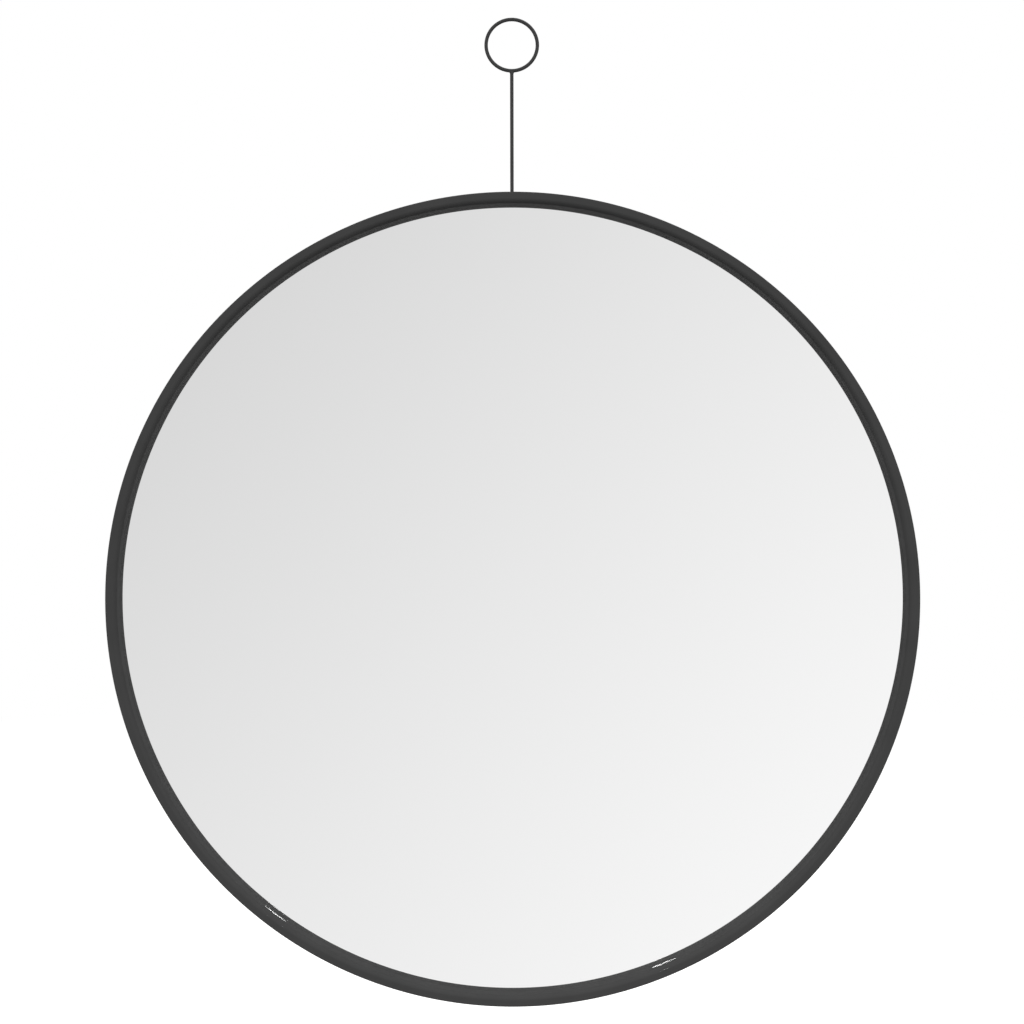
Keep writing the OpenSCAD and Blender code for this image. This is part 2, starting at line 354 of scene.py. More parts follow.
def spots(radius, start, count):
    """Places on a circle about the frame's centre, clockwise from the top by degrees."""
    t = np.radians(start + np.arange(count) * 360 / count)
    return [CENTRE + np.array([radius * math.sin(a), 0, radius * math.cos(a)]) for a in t]


def add_piece(name, shell, materials, body, nodes):
    """Makes a mesh of a shell, points its faces outwards and sets it on its body."""
    points, faces = shell
    mesh = bpy.data.meshes.new(name)
    mesh.from_pydata(points.tolist(), [], [face for block in faces for face in block.tolist()])
    for material in materials:
        mesh.materials.append(material)
    shape = bmesh.new()
    shape.from_mesh(mesh)
    bmesh.ops.recalc_face_normals(shape, faces=shape.faces)
    shape.to_mesh(mesh)
    shape.free()
    mesh.shade_smooth()
    mesh.set_sharp_from_angle(angle=SHARP_ANGLE)
    piece = bpy.data.objects.new(name, mesh)
    bpy.context.scene.collection.objects.link(piece)
    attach(piece, body)
    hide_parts(*nodes)
    return piece


def finish_node(name, material):
    """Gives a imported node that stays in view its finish."""
    for slot in frame["nodes"][name].material_slots:
        slot.material = material


def add_node(tree, kind, inputs=None, **values):
    """Adds a node, sets its values, and links or sets its inputs by name or number."""
    node = tree.nodes.new(kind)
    for name, value in values.items():
        setattr(node, name, value)
    for name, value in (inputs or {}).items():
        if isinstance(value, bpy.types.NodeSocket):
            tree.links.new(value, node.inputs[name])
        else:
            node.inputs[name].default_value = value
    return node


def start_material(name):
    """A new material without nodes: the material itself and its node tree."""
    material = bpy.data.materials.new(name)
    material.use_nodes = True
    material.node_tree.nodes.clear()
    return material, material.node_tree


def per(size):
    """Scale at which a texture's features are about this many metres across."""
    return 1 / size


def powder_coat():
    """Black powder coat, sprayed and baked on steel: satin, with a faint orange peel.

    The eye sees an even dark grey with a soft broad sheen, and a sharper glint on tight curves.
    """
    material, tree = start_material("powder_coated_steel")
    tones = settings().colours
    place = add_node(tree, "ShaderNodeTexCoord").outputs["Object"]
    cloud = add_node(tree, "ShaderNodeTexNoise", {
        "Vector": place, "Scale": per(35 * MM), "Detail": 2.0, "Roughness": 0.5})
    peel = add_node(tree, "ShaderNodeTexNoise", {
        "Vector": place, "Scale": per(1.4 * MM), "Detail": 1.0, "Roughness": 0.4})
    grain = add_node(tree, "ShaderNodeTexNoise", {
        "Vector": place, "Scale": per(0.3 * MM), "Detail": 0.0})
    tone = add_node(tree, "ShaderNodeMix", {
        MIX_FACTOR: cloud.outputs["Fac"], COLOUR_A: (*tones.coat, 1),
        COLOUR_B: (*tones.coat_worn, 1)}, data_type="RGBA")
    rough = add_node(tree, "ShaderNodeMapRange", {
        "Value": grain.outputs["Fac"], "From Min": 0.3, "From Max": 0.7,
        "To Min": 0.5, "To Max": 0.6})
    skin = add_node(tree, "ShaderNodeBump", {
        "Strength": 1.0, "Distance": 0.004 * MM, "Height": peel.outputs["Fac"]})
    shader = add_node(tree, "ShaderNodeBsdfPrincipled", {
        "Base Color": tone.outputs[COLOUR_RESULT], "Roughness": rough.outputs["Result"],
        "Specular IOR Level": 0.02, "Coat Weight": 0.035, "Coat Roughness": 0.03,
        "Normal": skin.outputs["Normal"]})
    add_node(tree, "ShaderNodeOutputMaterial", {"Surface": shader.outputs["BSDF"]})
    return material


def silvered_glass():
    """Float glass, silvered behind: gives back the room, with a trace of haze from wiping."""
    material, tree = start_material("silvered_float_glass")
    place = add_node(tree, "ShaderNodeTexCoord").outputs["Object"]
    haze = add_node(tree, "ShaderNodeTexNoise", {
        "Vector": place, "Scale": per(90 * MM), "Detail": 3.0, "Roughness": 0.6})
    rough = add_node(tree, "ShaderNodeMapRange", {
        "Value": haze.outputs["Fac"], "From Min": 0.35, "From Max": 0.75,
        "To Min": 0.008, "To Max": 0.02})
    shader = add_node(tree, "ShaderNodeBsdfPrincipled", {
        "Base Color": (*settings().colours.silver, 1), "Metallic": 1.0,
        "Roughness": rough.outputs["Result"]})
    add_node(tree, "ShaderNodeOutputMaterial", {"Surface": shader.outputs["BSDF"]})
    return material


def ground_glass():
    """Rim of the pane, seamed on a belt: a grey-green frosted edge."""
    material, tree = start_material("ground_glass_edge")
    place = add_node(tree, "ShaderNodeTexCoord").outputs["Object"]
    grit = add_node(tree, "ShaderNodeTexNoise", {
        "Vector": place, "Scale": per(0.25 * MM), "Detail": 2.0})
    skin = add_node(tree, "ShaderNodeBump", {
        "Strength": 1.0, "Distance": 0.02 * MM, "Height": grit.outputs["Fac"]})
    shader = add_node(tree, "ShaderNodeBsdfPrincipled", {
        "Base Color": (*settings().colours.glass_edge, 1), "Roughness": 0.45, "IOR": 1.52,
        "Normal": skin.outputs["Normal"]})
    add_node(tree, "ShaderNodeOutputMaterial", {"Surface": shader.outputs["BSDF"]})
    return material


def backing_paint():
    """Curtain-coated grey paint that seals the silver: flat, with fine dust in it."""
    material, tree = start_material("mirror_backing_paint")
    place = add_node(tree, "ShaderNodeTexCoord").outputs["Object"]
    dust = add_node(tree, "ShaderNodeTexNoise", {
        "Vector": place, "Scale": per(0.8 * MM), "Detail": 3.0})
    rough = add_node(tree, "ShaderNodeMapRange", {
        "Value": dust.outputs["Fac"], "To Min": 0.5, "To Max": 0.7})
    shader = add_node(tree, "ShaderNodeBsdfPrincipled", {
        "Base Color": (*settings().colours.paint, 1), "Roughness": rough.outputs["Result"]})
    add_node(tree, "ShaderNodeOutputMaterial", {"Surface": shader.outputs["BSDF"]})
    return material


def zinc_plate(name, pressed=False):
    """Bright zinc plating on steel: a soft silver sheen, dulled in clouds, with rolling marks.

    On a pressed piece the pattern lies on its flat blank, so the rolling marks run along the
    strip and round its bend.
    """
    material, tree = start_material(name)
    tones = settings().colours
    if pressed:
        place = add_node(
            tree, "ShaderNodeAttribute", attribute_name="blank_place").outputs["Vector"]
    else:
        place = add_node(tree, "ShaderNodeTexCoord").outputs["Object"]
    along = add_node(tree, "ShaderNodeMapping", {
        "Vector": place, "Scale": (6 * MM, 0.18 * MM, 0.18 * MM)}, vector_type="TEXTURE")
    lines = add_node(tree, "ShaderNodeTexNoise", {
        "Vector": along.outputs["Vector"], "Scale": 1.0, "Detail": 2.0, "Roughness": 0.6})
    cloud = add_node(tree, "ShaderNodeTexNoise", {
        "Vector": place, "Scale": per(3.5 * MM), "Detail": 4.0, "Roughness": 0.6})
    tone = add_node(tree, "ShaderNodeMix", {
        MIX_FACTOR: cloud.outputs["Fac"], COLOUR_A: (*tones.zinc, 1),
        COLOUR_B: (*tones.zinc_dull, 1)}, data_type="RGBA")
    rough = add_node(tree, "ShaderNodeMapRange", {
        "Value": cloud.outputs["Fac"], "From Min": 0.3, "From Max": 0.7,
        "To Min": 0.2, "To Max": 0.36})
    skin = add_node(tree, "ShaderNodeBump", {
        "Strength": 1.0, "Distance": 0.006 * MM, "Height": lines.outputs["Fac"]})
    shader = add_node(tree, "ShaderNodeBsdfPrincipled", {
        "Base Color": tone.outputs[COLOUR_RESULT], "Metallic": 1.0,
        "Roughness": rough.outputs["Result"], "Normal": skin.outputs["Normal"]})
    add_node(tree, "ShaderNodeOutputMaterial", {"Surface": shader.outputs["BSDF"]})
    return material


def nylon():
    """Moulded nylon, undyed: milky and waxy."""
    material, tree = start_material("moulded_nylon")
    place = add_node(tree, "ShaderNodeTexCoord").outputs["Object"]
    flow = add_node(tree, "ShaderNodeTexNoise", {"Vector": place, "Scale": per(1.5 * MM)})
    rough = add_node(tree, "ShaderNodeMapRange", {
        "Value": flow.outputs["Fac"], "To Min": 0.35, "To Max": 0.5})
    shader = add_node(tree, "ShaderNodeBsdfPrincipled", {
        "Base Color": (*settings().colours.nylon, 1), "Roughness": rough.outputs["Result"],
        "IOR": 1.53})
    add_node(tree, "ShaderNodeOutputMaterial", {"Surface": shader.outputs["BSDF"]})
    return material


def moulded_rubber():
    """Moulded synthetic rubber: matt and near black, with the mould's fine spark grain."""
    material, tree = start_material("moulded_rubber")
    place = add_node(tree, "ShaderNodeTexCoord").outputs["Object"]
    grain = add_node(tree, "ShaderNodeTexNoise", {
        "Vector": place, "Scale": per(0.35 * MM), "Detail": 2.0, "Roughness": 0.6})
    rough = add_node(tree, "ShaderNodeMapRange", {
        "Value": grain.outputs["Fac"], "From Min": 0.3, "From Max": 0.7,
        "To Min": 0.62, "To Max": 0.8})
    skin = add_node(tree, "ShaderNodeBump", {
        "Strength": 1.0, "Distance": 0.03 * MM, "Height": grain.outputs["Fac"]})
    shader = add_node(tree, "ShaderNodeBsdfPrincipled", {
        "Base Color": (*settings().colours.rubber, 1), "Roughness": rough.outputs["Result"],
        "Specular IOR Level": 0.35, "Normal": skin.outputs["Normal"]})
    add_node(tree, "ShaderNodeOutputMaterial", {"Surface": shader.outputs["BSDF"]})
    return material


def closed_cell_foam():
    """Closed-cell polyethylene foam, cut from sheet: grey and matt, pitted with small cells."""
    material, tree = start_material("closed_cell_foam")
    place = add_node(tree, "ShaderNodeTexCoord").outputs["Object"]
    cells = add_node(tree, "ShaderNodeTexVoronoi", {"Vector": place, "Scale": per(0.5 * MM)})
    skin = add_node(tree, "ShaderNodeBump", {
        "Strength": 1.0, "Distance": 0.06 * MM, "Height": cells.outputs["Distance"]})
    shader = add_node(tree, "ShaderNodeBsdfPrincipled", {
        "Base Color": (*settings().colours.foam, 1), "Roughness": 0.85,
        "Normal": skin.outputs["Normal"]})
    add_node(tree, "ShaderNodeOutputMaterial", {"Surface": shader.outputs["BSDF"]})
    return material


def fibre_board():
    """Wood-fibre board, hot pressed: brown and matt, a felt of short fibres with pale flecks.

    A real fibre is about 0.05 mm wide, too fine to show, so the flecks are drawn 1 mm wide.
    """
    material, tree = start_material("pressed_fibre_board")
    tones = settings().colours
    place = add_node(tree, "ShaderNodeTexCoord").outputs["Object"]
    fibres = []
    for turn in (0, 60, 120):
        lie = add_node(tree, "ShaderNodeMapping", {
            "Vector": place, "Rotation": (0, math.radians(turn), 0),
            "Scale": (4 * MM, 1 * MM, 1.2 * MM)}, vector_type="TEXTURE")
        fibres.append(add_node(tree, "ShaderNodeTexNoise", {
            "Vector": lie.outputs["Vector"], "Scale": 1.0, "Detail": 2.0, "Roughness": 0.6}))
    upper = add_node(tree, "ShaderNodeMath", {
        0: fibres[0].outputs["Fac"], 1: fibres[1].outputs["Fac"]}, operation="MAXIMUM")
    felt = add_node(tree, "ShaderNodeMath", {
        0: upper.outputs["Value"], 1: fibres[2].outputs["Fac"]}, operation="MAXIMUM")
    mottle = add_node(tree, "ShaderNodeTexNoise", {
        "Vector": place, "Scale": per(14 * MM), "Detail": 2.0, "Roughness": 0.5})
    mixed = add_node(tree, "ShaderNodeMath", {
        0: mottle.outputs["Fac"], 1: 0.2, 2: felt.outputs["Value"]}, operation="MULTIPLY_ADD")
    share = add_node(tree, "ShaderNodeMapRange", {
        "Value": mixed.outputs["Value"], "From Min": 0.55, "From Max": 0.85})
    tone = add_node(tree, "ShaderNodeMix", {
        MIX_FACTOR: share.outputs["Result"], COLOUR_A: (*tones.board_dark, 1),
        COLOUR_B: (*tones.board_light, 1)}, data_type="RGBA")
    rough = add_node(tree, "ShaderNodeMapRange", {
        "Value": felt.outputs["Value"], "From Min": 0.4, "From Max": 0.75,
        "To Min": 0.62, "To Max": 0.78})
    skin = add_node(tree, "ShaderNodeBump", {
        "Strength": 1.0, "Distance": 0.04 * MM, "Height": felt.outputs["Value"]})
    shader = add_node(tree, "ShaderNodeBsdfPrincipled", {
        "Base Color": tone.outputs[COLOUR_RESULT], "Roughness": rough.outputs["Result"],
        "Specular IOR Level": 0.3, "Normal": skin.outputs["Normal"]})
    add_node(tree, "ShaderNodeOutputMaterial", {"Surface": shader.outputs["BSDF"]})
    return material


def frame_profile(sizes):
    """Section of the frame as a closed line of (radius, depth).

    It runs up the wall beside the glass, over the face, down the outside, round the rear lip and
    back through the inside of the channel; straights join quarter arcs at the bends. The wall
    beside the glass springs out by lean t t, with t from 0 at the face's bend to 1 at the glass.
    """
    face_in = FRAME_RADIUS - sizes.face_width
    leg_in = face_in + sizes.wall
    channel = FRAME_RADIUS - sizes.wall
    lip = channel - sizes.lip_reach
    outer, inner, cut = sizes.outer_rounding, sizes.inner_rounding, sizes.cut_rounding
    recess = GLASS_LOW.y - FRONT_Y
    depth = FRAME_HIGH.y - FRONT_Y
    lip_front = depth - sizes.wall
    hole = np.linspace(-HOLE_REACH, HOLE_REACH, HOLE_ROWS) - FRONT_Y
    outside = np.column_stack([np.full(HOLE_ROWS, FRAME_RADIUS), hole])
    inside = np.column_stack([np.full(HOLE_ROWS, channel), hole[::-1]])
    front_bend, outer_bend = (face_in + inner, inner), FRAME_RADIUS - outer
    share = np.linspace(1, 0, CURVE_STEPS + 1)[:-1, None]
    leaning = np.array([face_in, recess]) * share + np.array([face_in, inner]) * (1 - share)
    leaning[:, :1] += sizes.wall_lean * share ** 2
    return np.vstack([
        leaning, arc(front_bend, inner, 180, 270, 2 * ROUNDING_STEPS),
        stretch((face_in + inner, 0), (outer_bend, 0)),
        arc((outer_bend, outer), outer, 270, 360),
        stretch((FRAME_RADIUS, outer), (FRAME_RADIUS, hole[0])), outside,
        stretch((FRAME_RADIUS, hole[-1]), (FRAME_RADIUS, depth - outer)),
        arc((outer_bend, depth - outer), outer, 0, 90),
        stretch((outer_bend, depth), (lip + cut, depth)),
        arc((lip + cut, depth - cut), cut, 90, 180, CUT_STEPS),
        stretch((lip, depth - cut), (lip, lip_front + cut)),
        arc((lip + cut, lip_front + cut), cut, 180, 270, CUT_STEPS),
        stretch((lip + cut, lip_front), (channel, lip_front)), [(channel, lip_front)],
        stretch((channel, lip_front), (channel, hole[-1])), inside,
        stretch((channel, hole[0]), (channel, sizes.wall)), [(channel, sizes.wall)],
        stretch((channel, sizes.wall), (face_in + inner, sizes.wall)),
        arc(front_bend, inner - sizes.wall, 270, 180),
        stretch((leg_in, inner), (leg_in, recess)), [(leg_in, recess)]])


def frame_shell(sizes):
    """The frame's section turned about its centre, with the rod's hole drilled at the top."""
    profile = frame_profile(sizes)
    walls = [FRAME_RADIUS, FRAME_RADIUS - sizes.wall]
    grid = turned(profile, BIG_STEPS)
    table = numbered(grid)
    quads = strip(np.vstack([table, table[:1]]))
    kept = np.ones(quads.shape[:2], bool)
    columns = BIG_STEPS // 2 + np.arange(-HOLE_COLUMNS, HOLE_COLUMNS + 1)
    near = np.abs(profile[:, 1] + FRONT_Y) < HOLE_REACH + HOLD / 2
    loops = []
    for wall in walls:
        rows = np.flatnonzero(near & (np.abs(profile[:, 0] - wall) < HOLD / 2))
        kept[rows.min():rows.max(), columns[0]:columns[-1]] = False
        loops.append(window(table, rows[np.argsort(profile[rows, 1])], columns))

    def flatten(place, wall):
        across = walls[wall] * np.arctan2(place[:, 0], place[:, 1])
        return np.column_stack([across, place[:, 2] + FRONT_Y])

    def curve(place, wall):
        t = place[:, 0] / walls[wall]
        return np.column_stack([
            walls[wall] * np.sin(t), walls[wall] * np.cos(t), place[:, 1] - FRONT_Y])

    points, hole = drill(grid.reshape(-1, 3), loops, sizes.rod_hole, flatten, curve)
    return points, [quads[kept], hole]


def board_shell(sizes):
    """A disc with rounded edges, and a round hole through it at each turn button's pivot.

    Its grid has a few rows out to the pivots, and closer ones where the holes are.
    """
    radius, edge = BOARD_HIGH.x, sizes.board_rounding
    depth, rear = BOARD_LOW.y - FRONT_Y, BOARD_HIGH.y - FRONT_Y
    across = PIVOT_RADIUS + np.linspace(-HOLE_REACH, HOLE_REACH, HOLE_ROWS)
    inner = np.linspace(radius / 6, across[0] - HOLE_REACH, 6)
    face = np.concatenate([inner, across, [radius - edge - HOLD]])
    profile = np.vstack([
        [(0, depth)], np.column_stack([face, np.full(len(face), depth)]),
        arc((radius - edge, depth + edge), edge, 270, 360, EDGE_STEPS),
        arc((radius - edge, rear - edge), edge, 0, 90, EDGE_STEPS),
        np.column_stack([face[::-1], np.full(len(face), rear)]), [(0, rear)]])
    points, faces = lathe(profile, BIG_STEPS)
    table = np.arange(len(points) - 2).reshape(-1, BIG_STEPS)
    kept = np.ones((len(table) - 1, BIG_STEPS), bool)
    body = profile[1:-1]
    near = np.abs(body[:, 0] - PIVOT_RADIUS) < HOLE_REACH + HOLD / 2
    holes = []
    for pivot in PIVOTS:
        angle = math.atan2(pivot[0], pivot[2])
        middle = round((angle + math.pi) / math.tau * BIG_STEPS)
        columns = middle + np.arange(-HOLE_COLUMNS, HOLE_COLUMNS + 1)
        out = np.array([math.sin(angle), math.cos(angle)])
        side = np.array([out[1], -out[0]])
        loops = []
        for wall in (depth, rear):
            rows = np.flatnonzero(near & (np.abs(body[:, 1] - wall) < HOLD / 2))
            kept[rows.min():rows.max(), columns[0]:columns[-1]] = False
            loops.append(window(table, rows[np.argsort(body[rows, 0])], columns))

        def flatten(place, wall):
            return np.column_stack([place[:, :2] @ side, place[:, :2] @ out - PIVOT_RADIUS])

        def curve(place, wall):
            flat = place[:, :1] * side + (place[:, 1:] + PIVOT_RADIUS) * out
            return np.column_stack([flat, np.full(len(flat), (depth, rear)[wall])])

        points, hole = drill(points, loops, sizes.rivet_hole, flatten, curve)
        holes.append(hole)
    return points, [faces[0][kept.ravel()], faces[1], *holes]


def ring_shell():
    """Torus of the wire: a circle of the wire's radius turned about the eye's centre."""
    wire = arc((EYE_RADIUS, 0), WIRE_RADIUS, 0, 360, WIRE_STEPS)[:-1]
    return looped(turned(wire, EYE_STEPS))


def rod_shell(sizes):
    """The rod from its threaded end to its weld on the ring, with its top sunk in the wire.

    Its section at height z is an ellipse. Its half width along the wire is the wire's radius plus
    flare (1 - sqrt(1 - c c)), where c is the share of the weld's height that z has climbed. Across
    the wire it swells by swell sin(pi c), and inside the wire it narrows by taper s s, with s from
    0 at the wire's underside to 1 at the top. The thread takes off a triangle wave of
    (height / pitch + angle / full turn).
    """
    wire_bottom = -(EYE_RADIUS + WIRE_RADIUS)
    weld_start = wire_bottom - sizes.weld_height
    top = -(EYE_RADIUS + 0.1 * WIRE_RADIUS)
    taper = 0.25 * WIRE_RADIUS
    rising = np.linspace(0, math.pi / 2, WELD_STEPS + 1)
    rows = round((NUT_HIGH.z - ROD_LOW.z - END_BEVEL) / THREAD_ROW)
    z = np.concatenate([
        [ROD_LOW.z], np.linspace(ROD_LOW.z + END_BEVEL, NUT_HIGH.z, rows, endpoint=False),
        np.linspace(NUT_HIGH.z, weld_start, CURVE_STEPS),
        wire_bottom - sizes.weld_height * (1 - np.sin(rising[1:])),
        np.linspace(wire_bottom, top, TIP_STEPS)[1:]])
    t = np.arange(SMALL_STEPS) * math.tau / SMALL_STEPS
    climbed = np.clip((z - weld_start) / sizes.weld_height, 0, 1)[:, None]
    sunk = np.clip((z - wire_bottom) / (top - wire_bottom), 0, 1)[:, None]
    along = WIRE_RADIUS + sizes.weld_flare * (1 - np.sqrt(1 - climbed ** 2))
    across = WIRE_RADIUS + WELD_SWELL * np.sin(math.pi * climbed) - taper * sunk ** 2
    wave = np.abs((z[:, None] / sizes.thread_pitch + t / math.tau) % 1 - 0.5) * 2
    run_out = np.clip((NUT_HIGH.z - z) / (2 * sizes.thread_pitch), 0, 1)[:, None]
    cut = sizes.thread_depth * wave * run_out
    end = np.clip((z - ROD_LOW.z) / END_BEVEL, 0, 1)[:, None]
    cut = np.maximum(cut, END_BEVEL * (1 - end))
    grid = np.stack([
        (along - cut) * np.cos(t), (across - cut) * np.sin(t), z[:, None] + 0 * t], axis=-1)
    return capped(grid, [[0, 0, z[0]], [0, 0, z[-1]]])


def pane_profile(arris):
    """Section of the pane: two flat faces and a rim with a ground flat on both edges."""
    radius, front, rear = GLASS_HIGH.x, GLASS_LOW.y - FRONT_Y, GLASS_HIGH.y - FRONT_Y
    return np.array([
        (0, front), (radius / 2, front), (radius - arris, front), (radius, front + arris),
        (radius, rear - arris), (radius - arris, rear), (radius / 2, rear), (0, rear)])


def block_shell(sizes, angle):
    """A block with rounded edges, bent along the rim of the glass about one angle in degrees.

    Its section is a rounded rectangle of (radius, depth), and shrinks towards its middle at both
    ends by the rounding's circle.
    """
    high = FRAME_RADIUS - settings().frame.wall - sizes.block_gap
    low = high - sizes.block_width
    front, rear, r = BLOCK_LOW.y - FRONT_Y, BLOCK_HIGH.y - FRONT_Y, sizes.block_rounding
    corners = [(high - r, rear - r), (low + r, rear - r), (low + r, front + r),
               (high - r, front + r)]
    section = np.vstack([
        arc(corner, r, 90 * k, 90 * (k + 1), EDGE_STEPS) for k, corner in enumerate(corners)])
    middle = np.array([(low + high) / 2, (front + rear) / 2])
    half = sizes.block_length / 2
    lift = np.radians(np.linspace(0, 90, BLOCK_STEPS + 1))
    run = np.concatenate([-half + r - r * np.cos(lift), half - r + r * np.cos(lift[::-1])])
    shrink = r * (1 - np.concatenate([np.sin(lift), np.sin(lift[::-1])]))
    away = section - middle
    t = math.radians(angle) + run / middle[0]
    rings = middle + away * (1 - shrink[:, None, None] / np.abs(away).max())
    grid = np.stack([
        rings[..., 0] * np.sin(t)[:, None], rings[..., 0] * np.cos(t)[:, None], rings[..., 1]],
        axis=-1)
    poles = [[middle[0] * math.sin(a), middle[0] * math.cos(a), middle[1]] for a in t[[0, -1]]]
    return capped(grid, poles)


def pad_profile(sizes):
    """Section of a squeezed pad: flat faces, and a side that bulges as a half ellipse."""
    front, rear = PAD_LOW.y - FRONT_Y, PAD_HIGH.y - FRONT_Y
    t = np.radians(np.linspace(-90, 90, CURVE_STEPS + 1))
    radius = sizes.pad_diameter / 2 - sizes.pad_bulge
    side = np.column_stack([
        radius + sizes.pad_bulge * np.cos(t), (front + rear) / 2 + (rear - front) / 2 * np.sin(t)])
    return np.vstack([[(0, front), (radius / 2, front)], side, [(radius / 2, rear), (0, rear)]])


def bumper_profile(sizes):
    """Section of a bumper: a cone from the board to the wall with a rounded tip."""
    base, tip, r = sizes.bumper_diameter / 2, sizes.bumper_tip / 2, sizes.bumper_rounding
    front, rear = BUMPER_LOW.y - FRONT_Y, BUMPER_HIGH.y - FRONT_Y
    slope = math.degrees(math.atan2(base - tip, rear - front))
    side = tip + r * math.tan(math.radians(slope)) - r
    return np.vstack([
        [(0, front), (base - HOLD, front), (base, front)],
        arc((side, rear - r), r, slope, 90, TIP_STEPS),
        [(side / 2, rear), (0, rear)]])


def rivet_profile(sizes):
    """Section of a semi-tubular rivet: a flat flange, the shank and the end rolled outwards.

    The rolled head is part of an ellipse whose middle lies two fifths up the head. It runs from
    35 degrees below the head's widest, over its top and in to the mouth of the hollow.
    """
    front, rear = RIVET_LOW.y - FRONT_Y, RIVET_HIGH.y - FRONT_Y
    seat, edge = front + sizes.flange_height, sizes.flange_rounding
    under = rear - sizes.head_height
    lip = (sizes.head - sizes.hollow) / 2
    t = np.radians(np.linspace(-35, 180, 22))
    roll = np.column_stack([
        sizes.hollow + lip + lip * np.cos(t),
        under + sizes.head_height * 0.4 + sizes.head_height * 0.6 * np.sin(t)])
    hollow_floor = BOARD_HIGH.y - FRONT_Y
    return np.vstack([
        [(0, front)], arc((sizes.flange - edge, front + edge), edge, 270, 360, CUT_STEPS),
        arc((sizes.flange - edge, seat - edge), edge, 0, 90, CUT_STEPS),
        [(sizes.shank, seat), (sizes.shank, under)], roll,
        [(sizes.hollow, hollow_floor + sizes.hollow_taper),
         (sizes.hollow * 0.6, hollow_floor), (0, hollow_floor)]])


def box_distance(place, low, high, half, rounding):
    """Signed distance from places (x, y) to a box from low to high in x, with rounded corners."""
    middle = np.array([(low + high) / 2, 0])
    reach = np.array([(high - low) / 2, half]) - rounding
    gap = np.abs(place - middle) - reach
    outside = np.linalg.norm(np.maximum(gap, 0), axis=-1)
    return outside + np.minimum(gap.max(axis=-1), 0) - rounding


def button_outline(sizes, lug_end):
    """Outline of a turn button's flat blank about its pivot, in even steps along it.

    The blank is a round pad, the nose's strip and the lug's strip. Each strip starts a third of
    its width behind the pivot. Each ray from the pivot leaves the three where the least of their
    signed distances is nought, which halving finds.
    """
    angles = np.linspace(-math.pi, math.pi, OUTLINE_RAYS + 1)
    rays = np.column_stack([np.cos(angles), np.sin(angles)])
    low, high = np.full(len(rays), sizes.hole), np.full(len(rays), 2 * sizes.reach)
    for _ in range(OUTLINE_HALVINGS):
        reach = (low + high) / 2
        place = rays * reach[:, None]
        pad = np.linalg.norm(place, axis=1) - sizes.pad / 2
        nose = box_distance(
            place, -sizes.nose_width / 3, sizes.reach, sizes.nose_width / 2, sizes.nose_rounding)
        lug = box_distance(
            place, -lug_end, sizes.lug_width / 3, sizes.lug_width / 2, sizes.lug_rounding)
        within = np.minimum(np.minimum(pad, nose), lug) < 0
        low, high = np.where(within, reach, low), np.where(within, high, reach)
    outline = rays * low[:, None]
    run = np.concatenate([[0], np.cumsum(np.linalg.norm(np.diff(outline, axis=0), axis=1))])
    even = np.linspace(0, run[-1], OUTLINE_POINTS, endpoint=False)
    return np.column_stack([np.interp(even, run, outline[:, i]) for i in (0, 1)])


def button_shell(sizes):
    """A turn button: its blank with rounded edges and a hole, bent up at the lug.

    Rows run from the hole over the top, round the edge, back underneath and up the hole. They lie
    closer over the outer two fifths, where the bend is. Past the bend line a blank point at
    distance u and height h lies at the angle u / neutral radius about the bend's centre, at the
    radius (inside radius + thickness - h), and then straight up.
    Returns the shell, and each point's place on the blank.
    """
    thick, edge, bend = sizes.thickness, sizes.edge, sizes.bend
    neutral = bend + thick / 2
    bend_x = -(sizes.lug_reach - thick - bend)
    lug_height = BUTTON_HIGH.y - BUTTON_LOW.y - thick - bend
    lug_end = -bend_x + neutral * math.pi / 2 + lug_height
    outline = button_outline(sizes, lug_end)
    tangent = np.roll(outline, -1, axis=0) - np.roll(outline, 1, axis=0)
    tangent /= np.linalg.norm(tangent, axis=1, keepdims=True)
    outward = np.column_stack([tangent[:, 1], -tangent[:, 0]])
    rays = outline / np.linalg.norm(outline, axis=1, keepdims=True)
    quarter = np.radians(np.linspace(0, 90, EDGE_STEPS + 1))
    share = np.concatenate([np.linspace(0, 0.6, 8)[:-1], np.linspace(0.6, 1, 18)])
    hole_edge, inner_edge = rays * (sizes.hole + edge), outline - edge * outward
    rows = [(hole_edge * (1 - s) + inner_edge * s, thick) for s in share]
    rows += [(outline - outward * edge * (1 - math.sin(q)), thick - edge * (1 - math.cos(q)))
             for q in quarter[1:]]
    rows += [(outline - outward * edge * (1 - math.cos(q)), edge * (1 - math.sin(q)))
             for q in quarter]
    rows += [(hole_edge * (1 - s) + inner_edge * s, 0) for s in share[::-1][1:]]
    rows += [(rays * (sizes.hole + edge * (1 - math.sin(q))), edge * (1 - math.cos(q)))
             for q in quarter[1:]]
    rows += [(rays * (sizes.hole + edge * (1 - math.cos(q))), thick - edge * (1 - math.sin(q)))
             for q in quarter[:-1]]
    blank = np.array([np.column_stack([flat, np.full(len(flat), h)]) for flat, h in rows])
    past = np.maximum(bend_x - blank[..., 0], 0)
    turn = np.minimum(past / neutral, math.pi / 2)
    beyond = np.maximum(past - neutral * math.pi / 2, 0)
    arm = bend + thick - blank[..., 2]
    x = np.where(past > 0, bend_x - arm * np.sin(turn), blank[..., 0])
    h = np.where(past > 0, bend + thick - arm * np.cos(turn) + beyond, blank[..., 2])
    return looped(np.stack([x, blank[..., 1], h], axis=-1)), blank


